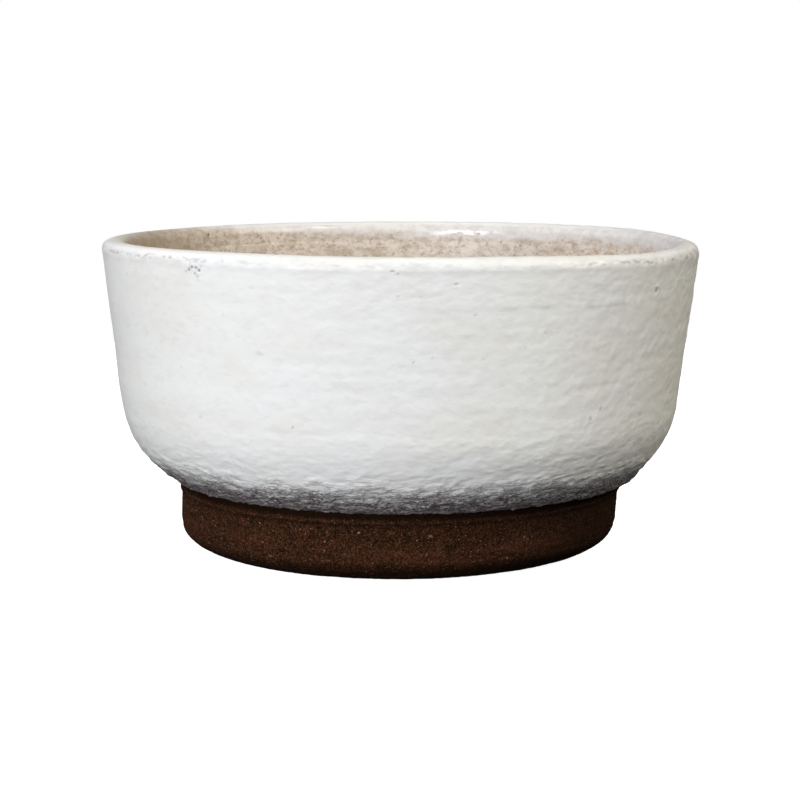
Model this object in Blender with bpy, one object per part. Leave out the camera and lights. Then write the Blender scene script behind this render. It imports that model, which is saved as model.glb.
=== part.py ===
"""Round bonsai pot: a thrown stoneware bowl on a foot ring, with its glaze coats and drainage screens.

The pot stands on z = 0 with its axis on Z. Dimensions are in millimetres and are scaled to metres
when the meshes are made. Outlines are (radius, height) points that are turned about the axis.
"""
import math

import bmesh
import bpy
from mathutils import Matrix, Vector

MM = 0.001
SEGMENTS = 48                     # facets round every turned piece

# Overall shape of the glazed pot
RIM_RADIUS = 130.0                # widest point, on the outer side of the lip
HEIGHT = 136.0                    # from the standing face to the top of the lip
LIP_OUTER_DROP = 6.2              # from the top of the lip down to its widest point
LIP_TOP_RADIUS = 124.4            # circle along the top of the lip
LIP_INNER_RADIUS = 119.4          # where the lip runs into the inner wall
LIP_INNER_DROP = 5.0
SHOULDER = (121.4, 64.3)          # lower end of the straight wall, outside
JUNCTION = (97.5, 30.3)           # where the belly meets the foot ring
JUNCTION_SLOPE = math.radians(29.55)
WALL_HANDLE = 10.3                # reach of the belly curve's handle along the wall
FOOT_HANDLE = 18.6                # and along the slope at the foot
INNER_SHOULDER = (111.0, 66.0)    # lower end of the straight wall, inside
INNER_FLOOR_RADIUS = 78.0         # flat part of the floor

# Coats and joints
GLAZE = 1.2                       # thickness of both glaze coats
GAP = 0.3                         # clearance between solids that touch
INNER_COAT_START = 7.0            # depth below the lip where the thick glaze ends
INNER_BELLY_STEPS = 7             # facets down the inner belly
INNER_COAT_STEPS = 5              # of which glazed: the coat stops above the bare floor

# Floor and foot ring
FLOOR_TOP = 32.0
FLOOR_BOTTOM = 21.5
RECESS_RADIUS = 64.0              # flat part of the underside
RING_TOP_INNER = 82.0             # inner edge of the joint between bowl and ring
GROOVE_RADIUS = 96.1
RIDGE_RADIUS = 97.0
RIDGE_HEIGHT = 27.5
ROLL_RADIUS = 95.9                # where the ring's side turns under
ROLL_HEIGHT = 13.5
ROLL_WIDTH = 26.6
STANDING_INNER = 63.5             # inner edge of the flat standing face

# Drainage
HOLES = 3
HOLE_RADIUS = 11.0
HOLE_SIDES = 24
HOLE_CIRCLE = 38.0                # distance of each hole from the axis
MESH_OPENING = 3.4
MESH_BAR = 1.2
MESH_CELLS = 7
MESH_THICKNESS = 1.2
WIRE = 1.5                        # diameter of the clip's wire
CLIP_BEND = 1.25                  # centreline radius of the wire's sharp bends
CLIP_LEG = 2 * (MESH_OPENING + MESH_BAR)      # each leg goes down the second opening out from the middle
CLIP_LOOP = 4.0                   # radius of the two flat loops
CLIP_FOOT = 19.0                  # reach of the spread legs under the floor


def line(start, end, steps):
    """Points along a straight line, without its last one."""
    return [tuple(a + (b - a) * i / steps for a, b in zip(start, end)) for i in range(steps)]


def bezier(p0, p1, p2, p3, steps):
    """Points along a cubic curve, without its last one."""
    points = []
    for i in range(steps):
        t = i / steps
        weights = ((1 - t) ** 3, 3 * t * (1 - t) ** 2, 3 * t * t * (1 - t), t ** 3)
        points.append(tuple(sum(w * x for w, x in zip(weights, axis)) for axis in zip(p0, p1, p2, p3)))
    return points


def quarter(centre, radii, start, end, steps):
    """Points along an elliptical arc between two angles in degrees, without its last one."""
    points = []
    for i in range(steps):
        angle = math.radians(start + (end - start) * i / steps)
        points.append((centre[0] + radii[0] * math.cos(angle), centre[1] + radii[1] * math.sin(angle)))
    return points


def offset(path, distance):
    """An outline moved sideways, to the left as one walks along it: into the clay."""
    moved = []
    for i, (r, z) in enumerate(path):
        before = path[max(i - 1, 0)]
        after = path[min(i + 1, len(path) - 1)]
        along = Vector((after[0] - before[0], after[1] - before[1])).normalized()
        moved.append((r - along.y * distance, z + along.x * distance))
    return moved


def outer_side():
    """Glazed surface from the junction up the belly and wall and over the lip, to the thick coat's end."""
    wall = Vector((RIM_RADIUS - SHOULDER[0], HEIGHT - LIP_OUTER_DROP - SHOULDER[1])).normalized()
    slope = Vector((math.cos(JUNCTION_SLOPE), math.sin(JUNCTION_SLOPE)))
    near_foot = tuple(Vector(JUNCTION) + slope * FOOT_HANDLE)
    near_wall = tuple(Vector(SHOULDER) - wall * WALL_HANDLE)
    widest = (RIM_RADIUS, HEIGHT - LIP_OUTER_DROP)
    outer_radii = (RIM_RADIUS - LIP_TOP_RADIUS, LIP_OUTER_DROP)
    inner_radii = (LIP_TOP_RADIUS - LIP_INNER_RADIUS, LIP_INNER_DROP)
    path = bezier(JUNCTION, near_foot, near_wall, SHOULDER, 6)
    path += line(SHOULDER, widest, 2)
    path += quarter((LIP_TOP_RADIUS, HEIGHT - LIP_OUTER_DROP), outer_radii, 0, 90, 3)
    path += quarter((LIP_TOP_RADIUS, HEIGHT - LIP_INNER_DROP), inner_radii, 90, 180, 3)
    path += [(LIP_INNER_RADIUS, HEIGHT - LIP_INNER_DROP), inner_wall(HEIGHT - INNER_COAT_START)]
    return path


def inner_wall(z):
    """Point of the straight inner wall at a height."""
    top = HEIGHT - LIP_INNER_DROP
    share = (top - z) / (top - INNER_SHOULDER[1])
    return (LIP_INNER_RADIUS + (INNER_SHOULDER[0] - LIP_INNER_RADIUS) * share, z)


def inner_side():
    """Surface of the inner wall and belly, from just under the thick coat down to the flat floor."""
    top = inner_wall(HEIGHT - INNER_COAT_START - GAP)
    floor = (INNER_FLOOR_RADIUS, FLOOR_TOP + GLAZE + GAP)
    below_wall = tuple(Vector(INNER_SHOULDER) * 2 - Vector(inner_wall(INNER_SHOULDER[1] + 15.0)))
    path = line(top, INNER_SHOULDER, 2)
    path += bezier(INNER_SHOULDER, below_wall, (floor[0] + 20.0, floor[1]), floor, INNER_BELLY_STEPS)
    return path + [floor]


def underside():
    """Bare clay under the bowl, from the junction in to the flat middle."""
    start = offset(outer_side(), GLAZE + GAP)[0]
    near_start = (start[0] - 13.0 * math.cos(JUNCTION_SLOPE), start[1] - 13.0 * math.sin(JUNCTION_SLOPE))
    return bezier(start, near_start, (RECESS_RADIUS + 12.0, FLOOR_BOTTOM), (RECESS_RADIUS, FLOOR_BOTTOM), 6)


def material(name, colour, roughness, metallic=0.0):
    """A plain Principled material."""
    made = bpy.data.materials.new(name)
    made.use_nodes = True
    shader = made.node_tree.nodes["Principled BSDF"]
    shader.inputs["Base Color"].default_value = (*colour, 1.0)
    shader.inputs["Roughness"].default_value = roughness
    shader.inputs["Metallic"].default_value = metallic
    return made


def solid(name, bm, finish):
    """A named object made from a closed mesh, shaded smooth apart from its sharp edges."""
    bmesh.ops.recalc_face_normals(bm, faces=bm.faces)
    mesh = bpy.data.meshes.new(name)
    bm.to_mesh(mesh)
    bm.free()
    mesh.transform(Matrix.Scale(MM, 4))
    mesh.shade_smooth()
    mesh.set_sharp_from_angle(angle=math.radians(40))
    mesh.materials.append(finish)
    made = bpy.data.objects.new(name, mesh)
    bpy.context.collection.objects.link(made)
    return made


def turned(name, outline, finish, closed=True):
    """A solid turned about Z. An open outline starts and ends on the axis."""
    bm = bmesh.new()
    verts = [bm.verts.new((r, 0.0, z)) for r, z in outline]
    edges = [bm.edges.new(pair) for pair in zip(verts, verts[1:])]
    if closed:
        edges.append(bm.edges.new((verts[-1], verts[0])))
    bmesh.ops.spin(bm, geom=verts + edges, axis=(0, 0, 1), cent=(0, 0, 0),
                   angle=math.tau, steps=SEGMENTS, use_merge=True)
    bmesh.ops.remove_doubles(bm, verts=bm.verts, dist=0.001)
    return solid(name, bm, finish)


def make_bowl(finish):
    """The thrown bowl: floor, inner wall, lip, outer wall and underside, with the drainage holes cut."""
    clay = offset(outer_side() + inner_side(), GLAZE + GAP)
    outline = [(0.0, FLOOR_TOP)] + clay[::-1] + underside()[1:]
    outline += [(RECESS_RADIUS, FLOOR_BOTTOM), (0.0, FLOOR_BOTTOM)]
    bowl = turned("bowl_body", outline, finish, closed=False)
    for number in range(HOLES):
        bm = bmesh.new()
        bmesh.ops.create_cone(bm, cap_ends=True, segments=HOLE_SIDES, radius1=HOLE_RADIUS,
                              radius2=HOLE_RADIUS, depth=3 * (FLOOR_TOP - FLOOR_BOTTOM))
        cutter = solid(f"hole_cutter_{number + 1}", bm, finish)
        cutter.matrix_world = drain_place(number, (FLOOR_TOP + FLOOR_BOTTOM) / 2)
        cutter.hide_render = True
        cutter.display_type = "WIRE"
        cut = bowl.modifiers.new(f"drain_hole_{number + 1}", "BOOLEAN")
        cut.operation = "DIFFERENCE"
        cut.object = cutter


def drain_place(number, z):
    """Place of a drainage hole's own frame at a height: its X points away from the pot's axis."""
    turn = Matrix.Rotation(math.tau * number / HOLES + math.pi / 2, 4, "Z")
    return turn @ Matrix.Translation((HOLE_CIRCLE * MM, 0.0, z * MM))


def make_outer_glaze(finish):
    """The thick coat, with a small step at each end."""
    surface = outer_side()
    turned("outer_glaze", surface + offset(surface, GLAZE)[::-1], finish)


def make_inner_glaze(finish):
    """The thin coat of the inner wall, which stops above the bare floor."""
    surface = inner_side()
    glazed = surface[:2 + INNER_COAT_STEPS + 1]
    turned("inner_glaze", glazed + offset(glazed, GLAZE)[::-1], finish)


def make_foot_ring(finish):
    """The ring under the bowl: joint face, groove, ridge, side, rolled edge and standing face."""
    joint = [point for point in offset(underside(), GAP) if point[0] > RING_TOP_INNER]
    roll_centre = (ROLL_RADIUS - ROLL_WIDTH, ROLL_HEIGHT)
    outline = joint[:0:-1]
    outline += [(GROOVE_RADIUS - 0.6, 30.4), (GROOVE_RADIUS, 29.2), (RIDGE_RADIUS, RIDGE_HEIGHT)]
    outline += [(RIDGE_RADIUS - 0.5, RIDGE_HEIGHT - 1.4)]
    outline += quarter(roll_centre, (ROLL_WIDTH, ROLL_HEIGHT), 0, -90, 6)
    outline += [(roll_centre[0], 0.0), (STANDING_INNER, 0.0)]
    outline += quarter((STANDING_INNER + 3.0, 4.5), (4.5, 4.5), 200, 110, 3)
    outline += bezier((67.0, 9.6), (75.0, 11.0), (81.0, 12.5), (RING_TOP_INNER - 0.5, 19.0), 4)
    outline += [(RING_TOP_INNER - 0.5, 19.0)]
    turned("foot_ring", outline, finish)


def make_drain_mesh(number, finish):
    """A square plastic screen: bars with openings between them."""
    bm = bmesh.new()
    pitch = MESH_OPENING + MESH_BAR
    half = (MESH_CELLS * pitch + MESH_BAR) / 2
    stops = [cell * pitch + side - half for cell in range(MESH_CELLS + 1) for side in (0.0, MESH_BAR)]
    grid = [[bm.verts.new((x, y, 0.0)) for y in stops] for x in stops]
    for i in range(len(stops) - 1):
        for j in range(len(stops) - 1):
            if i % 2 == 0 or j % 2 == 0:
                bm.faces.new((grid[i][j], grid[i + 1][j], grid[i + 1][j + 1], grid[i][j + 1]))
    raised = bmesh.ops.extrude_face_region(bm, geom=bm.faces[:])["geom"]
    top = [v for v in raised if isinstance(v, bmesh.types.BMVert)]
    bmesh.ops.translate(bm, verts=top, vec=(0.0, 0.0, MESH_THICKNESS))
    made = solid(f"drain_mesh_{number + 1}", bm, finish)
    made.matrix_world = drain_place(number, FLOOR_TOP + GAP)


def clip_half(bottom, top):
    """Half of a clip's centreline, from a spread leg's end to the middle of the S on the screen."""
    bend = CLIP_BEND
    loop_x = CLIP_LEG + bend + 1.0
    points = line((CLIP_FOOT, 0.0, bottom), (CLIP_LEG + bend, 0.0, bottom), 1)
    points += [(x, 0.0, z) for x, z in quarter((CLIP_LEG + bend, bottom + bend), (bend, bend), 270, 180, 3)]
    points += line((CLIP_LEG, 0.0, bottom + bend), (CLIP_LEG, 0.0, top - bend), 1)
    points += [(x, 0.0, z) for x, z in quarter((CLIP_LEG + bend, top - bend), (bend, bend), 180, 90, 3)]
    points += [(CLIP_LEG + bend, 0.0, top)]
    points += [(x, y, top) for x, y in quarter((loop_x, CLIP_LOOP), (CLIP_LOOP, CLIP_LOOP), -90, 90, 7)]
    points += bezier((loop_x, 2 * CLIP_LOOP, top), (loop_x - 7.0, 2 * CLIP_LOOP, top),
                     (3.0, 3.0, top), (0.0, 0.0, top), 6)
    return points


def make_mesh_clip(number, finish):
    """Bent wire: legs through the screen and the hole, two flat loops and an S between them on top."""
    bottom = FLOOR_BOTTOM - GAP - WIRE / 2
    top = FLOOR_TOP + GAP + MESH_THICKNESS + GAP + WIRE / 2 + 0.2
    half = clip_half(bottom, top)
    other = [(-x, -y, z) for x, y, z in half]
    route = half + [(0.0, 0.0, top)] + other[::-1]
    curve = bpy.data.curves.new(f"mesh_clip_{number + 1}", "CURVE")
    curve.dimensions = "3D"
    spline = curve.splines.new("POLY")
    spline.points.add(len(route) - 1)
    for point, (x, y, z) in zip(spline.points, route):
        point.co = (x * MM, y * MM, z * MM, 1.0)
    curve.bevel_depth = WIRE / 2 * MM
    curve.bevel_resolution = 1
    curve.use_fill_caps = True
    curve.materials.append(finish)
    made = bpy.data.objects.new(curve.name, curve)
    bpy.context.collection.objects.link(made)
    made.matrix_world = drain_place(number, 0.0)


def main():
    for old in list(bpy.data.objects):
        bpy.data.objects.remove(old, do_unlink=True)
    clay = material("chamotte_stoneware", (0.045, 0.026, 0.018), 0.85)
    ring_clay = material("bare_foot_clay", (0.040, 0.022, 0.015), 0.88)
    white = material("white_glaze", (0.72, 0.71, 0.69), 0.42)
    tan = material("mottled_liner_glaze", (0.46, 0.36, 0.26), 0.38)
    plastic = material("screen_plastic", (0.02, 0.03, 0.025), 0.5)
    wire = material("aluminium_wire", (0.60, 0.55, 0.48), 0.35, metallic=1.0)
    make_bowl(clay)
    make_foot_ring(ring_clay)
    make_outer_glaze(white)
    make_inner_glaze(tan)
    for number in range(HOLES):
        make_drain_mesh(number, plastic)
        make_mesh_clip(number, wire)


main()
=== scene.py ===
"""Round bonsai pot: the surfaces that are seen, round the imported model, with studio and camera.

The pot stands on z = 0 with its axis on Z, and its front faces -Y. Outlines, waves and marks are
given in millimetres and become metres when a mesh is made. A direction round the pot is its turn:
an angle from the front, positive towards +X.
"""
import itertools
import math

import bmesh
import bpy
import numpy as np
from mathutils import Matrix, Vector


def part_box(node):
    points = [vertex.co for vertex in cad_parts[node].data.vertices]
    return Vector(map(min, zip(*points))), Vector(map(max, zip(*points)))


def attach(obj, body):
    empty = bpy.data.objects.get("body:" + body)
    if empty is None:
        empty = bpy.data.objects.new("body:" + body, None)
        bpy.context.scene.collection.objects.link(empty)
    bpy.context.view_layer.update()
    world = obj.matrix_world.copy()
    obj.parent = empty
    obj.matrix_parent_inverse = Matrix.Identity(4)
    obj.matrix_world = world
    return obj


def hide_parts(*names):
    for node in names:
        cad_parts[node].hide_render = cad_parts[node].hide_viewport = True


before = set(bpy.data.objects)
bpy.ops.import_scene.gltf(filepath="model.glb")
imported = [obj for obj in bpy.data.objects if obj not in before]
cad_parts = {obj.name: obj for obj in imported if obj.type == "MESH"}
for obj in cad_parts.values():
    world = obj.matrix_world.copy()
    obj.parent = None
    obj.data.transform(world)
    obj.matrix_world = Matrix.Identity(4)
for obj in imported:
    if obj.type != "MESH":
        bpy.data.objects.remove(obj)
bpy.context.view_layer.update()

MM = 0.001
SEED = 7

# The outline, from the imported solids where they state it
RIM_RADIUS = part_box("outer_glaze")[1].x / MM
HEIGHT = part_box("outer_glaze")[1].z / MM
JUNCTION = (97.5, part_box("outer_glaze")[0].z / MM)      # where the belly meets the foot ring
JUNCTION_SLOPE = math.radians(29.55)
SHOULDER = (121.4, 64.3)                                # lower end of the straight wall, outside
INNER_SHOULDER = (111.0, 66.0)                          # and inside
LIP_TOP_RADIUS = 124.4
LIP_OUTER_DROP = 5.0
LIP_INNER_RADIUS = 119.4
LIP_INNER_DROP = 5.0
COAT = 1.5                                              # from the clay to the surface of the glaze
FLOOR_TOP = 32.0
FLOOR_BOTTOM = 21.5
FLOOR_RADIUS = 78.0                                     # flat part of the floor
RECESS_RADIUS = 64.0                                    # flat part of the underside
RING_TOP_INNER = 82.0
ROLL = (95.9, 13.5)                                     # where the foot's side turns under
ROLL_WIDTH = 26.6
STANDING_INNER = 63.5
HOLE_CIRCLE = 38.0
HOLE_RADIUS = 11.0
HOLES = 3
FULL_CORNER = 2.3                                       # of the lip and the rolled edge, 2 is round


# ---------------------------------------------------------------- outlines

def line(start, end, steps=24):
    """Points along a straight line, without its last one."""
    return [tuple(a + (b - a) * i / steps for a, b in zip(start, end)) for i in range(steps)]


def bezier(p0, p1, p2, p3, steps=60):
    """Points along a cubic curve, without its last one."""
    points = []
    for i in range(steps):
        t = i / steps
        weights = ((1 - t) ** 3, 3 * t * (1 - t) ** 2, 3 * t * t * (1 - t), t ** 3)
        axes = zip(p0, p1, p2, p3)
        points.append(tuple(sum(w * x for w, x in zip(weights, axis)) for axis in axes))
    return points


def quarter(centre, radii, start, end, steps=30, square=2.0):
    """Points along an elliptical arc between two angles in degrees, without its last one.

    With square above 2 the corner is fuller than an ellipse.
    """
    points = []
    for i in range(steps):
        angle = math.radians(start + (end - start) * i / steps)
        parts = (math.cos(angle), math.sin(angle))
        reach = [math.copysign(abs(part) ** (2 / square), part) for part in parts]
        points.append(tuple(c + r * part for c, r, part in zip(centre, radii, reach)))
    return points


def inner_wall(z):
    """Point of the straight inner wall at a height."""
    top = HEIGHT - LIP_INNER_DROP
    share = (top - z) / (top - INNER_SHOULDER[1])
    return (LIP_INNER_RADIUS + (INNER_SHOULDER[0] - LIP_INNER_RADIUS) * share, z)


def outer_path(end_depth):
    """Glazed surface up the belly and wall, over the lip and down inside to that depth."""
    wall = Vector((RIM_RADIUS - SHOULDER[0], HEIGHT - LIP_OUTER_DROP - SHOULDER[1])).normalized()
    slope = Vector((math.cos(JUNCTION_SLOPE), math.sin(JUNCTION_SLOPE)))
    lip_radii = (RIM_RADIUS - LIP_TOP_RADIUS, LIP_OUTER_DROP)
    inner_radii = (LIP_TOP_RADIUS - LIP_INNER_RADIUS, LIP_INNER_DROP)
    leaving = Vector(JUNCTION) + slope * 18.6
    arriving = Vector(SHOULDER) - wall * 10.3
    path = bezier(JUNCTION, tuple(leaving), tuple(arriving), SHOULDER)
    path += line(SHOULDER, (RIM_RADIUS, HEIGHT - LIP_OUTER_DROP))
    path += quarter((LIP_TOP_RADIUS, HEIGHT - LIP_OUTER_DROP), lip_radii, 0, 90, 40, FULL_CORNER)
    path += quarter((LIP_TOP_RADIUS, HEIGHT - LIP_INNER_DROP), inner_radii, 90, 172)
    path += line(inner_wall(HEIGHT - LIP_INNER_DROP - 0.6), inner_wall(HEIGHT - end_depth))
    return path + [inner_wall(HEIGHT - end_depth)]


def inner_path(start_depth):
    """Surface of the inner wall and belly, from a depth below the lip to the flat floor's edge."""
    floor = (FLOOR_RADIUS, FLOOR_TOP + COAT)
    below_wall = tuple(Vector(INNER_SHOULDER) * 2 - Vector(inner_wall(INNER_SHOULDER[1] + 15.0)))
    path = line(inner_wall(HEIGHT - start_depth), INNER_SHOULDER)
    return path + bezier(INNER_SHOULDER, below_wall, (floor[0] + 20.0, floor[1]), floor) + [floor]


def underside_path():
    """Bare clay under the bowl, from the junction to the flat middle."""
    across, up = math.cos(JUNCTION_SLOPE), math.sin(JUNCTION_SLOPE)
    start = (JUNCTION[0] - COAT * up, JUNCTION[1] + COAT * across)
    leaving = (start[0] - 13.0 * across, start[1] - 13.0 * up)
    middle = (RECESS_RADIUS, FLOOR_BOTTOM)
    return bezier(start, leaving, (RECESS_RADIUS + 12.0, FLOOR_BOTTOM), middle)


def ring_path():
    """Outline of the foot ring: groove and ridge, side, rolled edge, standing face, inside."""
    radius, height = ROLL
    centre = (radius - ROLL_WIDTH, height)
    inside = RING_TOP_INNER - 0.5
    path = line((94.6, 31.4), (95.2, 29.8), 6)
    path += bezier((95.2, 29.8), (95.4, 28.4), (97.4, 28.5), (97.4, 27.3), 12)
    path += bezier((97.4, 27.3), (97.4, 26.4), (96.5, 26.6), (96.3, 25.2), 10)
    path += line((96.3, 25.2), (radius + 0.15, height + 1.4), 20)
    path += bezier((radius + 0.15, height + 1.4), (radius + 0.3, height + 0.4),
                   (radius - 0.1, height - 0.8), (radius - 0.5, height - 2.4), 10)
    roll = quarter(centre, (ROLL_WIDTH, height), 0, -90, 60, FULL_CORNER)
    path += [point for point in roll if point[1] < height - 3.2]
    path += line((centre[0], 0.0), (STANDING_INNER + 1.5, 0.0), 6)
    path += quarter((STANDING_INNER + 3.0, 4.5), (4.5, 4.5), 250, 110, 20)
    path += bezier((65.0, 8.8), (75.0, 10.6), (81.0, 12.5), (inside, 19.0), 30)
    path += line((inside, 19.0), (inside, 24.5), 8)
    return path + [(RING_TOP_INNER, 25.6)]


def resample(path, spacing):
    """Outline points spacing(length) apart, with their lengths along it and outward normals."""
    path = np.array(path)
    length = np.concatenate([[0.0], np.cumsum(np.hypot(*np.diff(path, axis=0).T))])
    stops = [0.0]
    while stops[-1] < length[-1]:
        stops.append(stops[-1] + spacing(stops[-1]))
    stops = np.array(stops) * length[-1] / stops[-1]
    points = np.stack([np.interp(stops, length, path[:, k]) for k in (0, 1)], axis=1)
    along = np.gradient(points, axis=0)
    along /= np.linalg.norm(along, axis=1, keepdims=True)
    return points, stops, np.stack([along[:, 1], -along[:, 0]], axis=1)


# ---------------------------------------------------------------- noise and waves

def noise(points, seed):
    """Smooth gradient noise in space, about -0.8 to 0.8. Each seed makes another pattern."""
    draw = np.random.default_rng(seed + SEED)
    order = draw.permutation(256)
    slopes = draw.normal(size=(256, 3))
    slopes /= np.linalg.norm(slopes, axis=1, keepdims=True)
    cell = np.floor(points).astype(np.int64)
    part = points - cell
    ease = part ** 3 * (part * (part * 6 - 15) + 10)
    total = np.zeros(points.shape[:-1])
    for corner in itertools.product((0, 1), repeat=3):
        key = cell[..., 0] + corner[0]
        for axis in (1, 2):
            key = order[key & 255] + cell[..., axis] + corner[axis]
        weight = np.prod(np.where(np.array(corner) == 1, ease, 1 - ease), axis=-1)
        total += weight * np.sum(slopes[order[key & 255]] * (part - corner), axis=-1)
    return total * 1.4


def layered(points, seed, octaves, gain=0.5):
    """Noise with finer layers added."""
    return sum(noise(points * 2.03 ** i, seed + i) * gain ** i for i in range(octaves))


def ridged(points, seed, octaves, gain=0.5):
    """Noise that makes sharp crests, 0 to about 1."""
    crests = [(1 - np.abs(noise(points * 1.97 ** i, seed + i)) * 1.6) * gain ** i
              for i in range(octaves)]
    return sum(crests) / sum(gain ** i for i in range(octaves))


def smooth(low, high, value):
    """0 below low, 1 above high, eased between them. With low above high it runs downwards."""
    t = np.clip((value - low) / (high - low), 0.0, 1.0)
    return t * t * (3 - 2 * t)


def turn_from(turn, centre):
    """Angle between two directions round the pot, in degrees, from -180 to 180."""
    return (np.degrees(turn) - centre + 180.0) % 360.0 - 180.0


def near_turn(turn, centre, width, power=2):
    """1 in one direction round the pot, in degrees, and down to 0 on both sides of it."""
    return np.exp(-(turn_from(turn, centre) / width) ** power)


def near(value, centre, width):
    """1 where the value is at the centre, and down to 0 on both sides of it."""
    return np.exp(-((value - centre) / width) ** 2)


# ---------------------------------------------------------------- meshes

STRIPS = 3                       # that a bake map lays a piece out in, one above the other


def uneven(points):
    """The hand-made unevenness of the whole pot, shared by every clay and glaze surface."""
    x, y, z = points[..., 0], points[..., 1], points[..., 2]
    turn = np.arctan2(x, -y)
    radius = np.hypot(x, y)
    up = np.clip((z - JUNCTION[1]) / (HEIGHT - JUNCTION[1]), 0.0, 1.0)
    to_left, to_right = near_turn(turn, -90.0, 55.0), near_turn(turn, 90.0, 60.0)

    # the rim rises, dips and is a little out of round
    low_spots = 1.5 * near_turn(turn, 57.0, 22.0) + 1.2 * near_turn(turn, 95.0, 17.0)
    low_spots += 0.6 * near_turn(turn, -93.0, 48.0, 4) + 0.2 * near_turn(turn, -88.0, 14.0)
    lift = 0.45 * np.cos(turn + math.radians(70)) + 0.3 * np.cos(2 * turn - math.radians(240))
    lift -= low_spots
    out_of_round = 0.0016 * np.cos(2 * turn + 0.6) + 0.001 * np.cos(3 * turn + 2.0)
    swell = 1 + out_of_round * smooth(0, 0.5, up)

    # the sides are fuller or flatter in places, but the floor stays as it is
    bulge = to_left * (0.5 * near(z, 50.0, 7.0) - 1.15 * near(z, 34.5, 6.5)
                       + 0.8 * near(z, 74.0, 13.0))
    bulge += to_right * (0.2 * near(z, 55.0, 9.0) + 2.3 * near(z, 32.3, 3.0))
    bulge -= 0.4 * to_left * smooth(105, 130, z)
    thick_lip = near_turn(turn, -88.0, 16.0) * smooth(123.5, 120.5, radius) * smooth(112, 130, z)
    full_lip = near_turn(turn, -97.0, 24.0) * smooth(131.5, 134.5, z) * smooth(122, 126, radius)
    off_floor = smooth(60, 84, radius)
    bulge = off_floor * (bulge - 0.5 * thick_lip + 0.7 * full_lip)
    raised = 0.5 * to_right * near(z, 27.0, 5.0) * off_floor

    # the foot stands a little to the left
    lean = -1.4 * (1 - np.clip(z / JUNCTION[1], 0.0, 1.0)) ** 1.3
    grown = swell + bulge / (radius + 1e-9)
    return np.stack([x * grown + lean, y * grown, z + lift * up ** 3 + raised], axis=-1)


def quads(rows, columns, closed):
    """The corners of each face between rows of points round the pot."""
    i, j = np.meshgrid(np.arange(rows if closed else rows - 1), np.arange(columns), indexing="ij")
    below, above = i * columns, ((i + 1) % rows) * columns
    after = (j + 1) % columns
    return np.stack([below + j, below + after, above + after, above + j], axis=-1).reshape(-1, 4)


def smooth_mesh(name, corners, loops, sizes):
    """A mesh from points in millimetres, the faces' corners in turn, and how many each face has."""
    mesh = bpy.data.meshes.new(name)
    mesh.vertices.add(len(corners))
    mesh.vertices.foreach_set("co", (corners * MM).astype(np.float32).reshape(-1))
    mesh.loops.add(len(loops))
    mesh.loops.foreach_set("vertex_index", loops.astype(np.int32))
    mesh.polygons.add(len(sizes))
    mesh.polygons.foreach_set("loop_start", (np.cumsum(sizes) - sizes).astype(np.int32))
    mesh.update(calc_edges=True)
    mesh.validate()
    mesh.shade_smooth()
    return mesh


def band_mesh(name, points, stretch):
    """A closed band round the pot, with a bake map that lays its rows out in strips.

    points is rows x columns x 3, in millimetres. stretch is each row's place across a strip.
    """
    rows, columns = points.shape[:2]
    faces = quads(rows, columns, closed=True)
    mesh = smooth_mesh(name, points.reshape(-1, 3), faces.reshape(-1), np.full(len(faces), 4))
    i, j = np.meshgrid(np.arange(rows), np.arange(columns), indexing="ij")
    per_strip = columns / STRIPS
    strip = np.floor(j / per_strip)
    left = (j - strip * per_strip) / per_strip
    right = left + 1 / per_strip
    across = np.append(stretch, 1.0)
    u = np.stack([left, right, right, left], axis=-1)
    v = np.stack([across[i], across[i], across[i + 1], across[i + 1]], axis=-1)
    # the map keeps off its edges, and the strips off each other
    place = np.stack([0.005 + 0.99 * u, (strip[..., None] + 0.02 + 0.96 * v) / STRIPS], axis=-1)
    bake_map = mesh.uv_layers.new(name="OFBake")
    bake_map.uv.foreach_set("vector", place.astype(np.float32).reshape(-1))
    return mesh


def capped_mesh(name, points):
    """A mesh from rows of points round the pot, closed at each end by a point on the axis."""
    rows, columns = points.shape[:2]
    faces = quads(rows, columns, closed=False)
    ends = np.array([[0.0, 0.0, points[0, :, 2].mean()], [0.0, 0.0, points[-1, :, 2].mean()]])
    ring, following = np.arange(columns), (np.arange(columns) + 1) % columns
    last, first_end = (rows - 1) * columns, rows * columns
    first_fan = np.stack([following, ring, np.full(columns, first_end)], axis=-1)
    last_fan = np.stack([last + ring, last + following, np.full(columns, first_end + 1)], axis=-1)
    fans = np.concatenate([first_fan, last_fan])
    corners = np.concatenate([points.reshape(-1, 3), ends])
    loops = np.concatenate([faces.reshape(-1), fans.reshape(-1)])
    return smooth_mesh(name, corners, loops, np.repeat([4, 3], [len(faces), len(fans)]))


def paint(mesh, name, values, rest=0.0):
    """Stores a number at each point of a mesh, for its material. Points past those get rest."""
    padded = np.full(len(mesh.vertices), rest, np.float32)
    padded[:values.size] = values.reshape(-1)
    mesh.attributes.new(name, "FLOAT", "POINT").data.foreach_set("value", padded)


def piece(name, data, slot, *nodes):
    """An object that rides on the pot and stands for CAD nodes."""
    made = bpy.data.objects.new(name, data)
    bpy.context.scene.collection.objects.link(made)
    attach(made, "root")
    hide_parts(*nodes)
    return made


def turned(points, normals, turns, height):
    """Rows of points round the axis, moved out by a height along the outline's normals."""
    height = np.broadcast_to(height, (len(points), len(turns)))
    radius = points[:, :1] + normals[:, :1] * height
    z = points[:, 1:] + normals[:, 1:] * height
    return np.stack([radius * np.sin(turns), -radius * np.cos(turns), z], axis=-1)


def surface_places(stops, turns, radius):
    """Places for noise: round a cylinder of that radius, and along the outline."""
    row = np.broadcast_to(stops[:, None], (len(stops), len(turns)))
    return np.stack([np.broadcast_to(radius * np.sin(turns), row.shape),
                     np.broadcast_to(radius * np.cos(turns), row.shape), row], axis=-1)


# ---------------------------------------------------------------- materials

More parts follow.
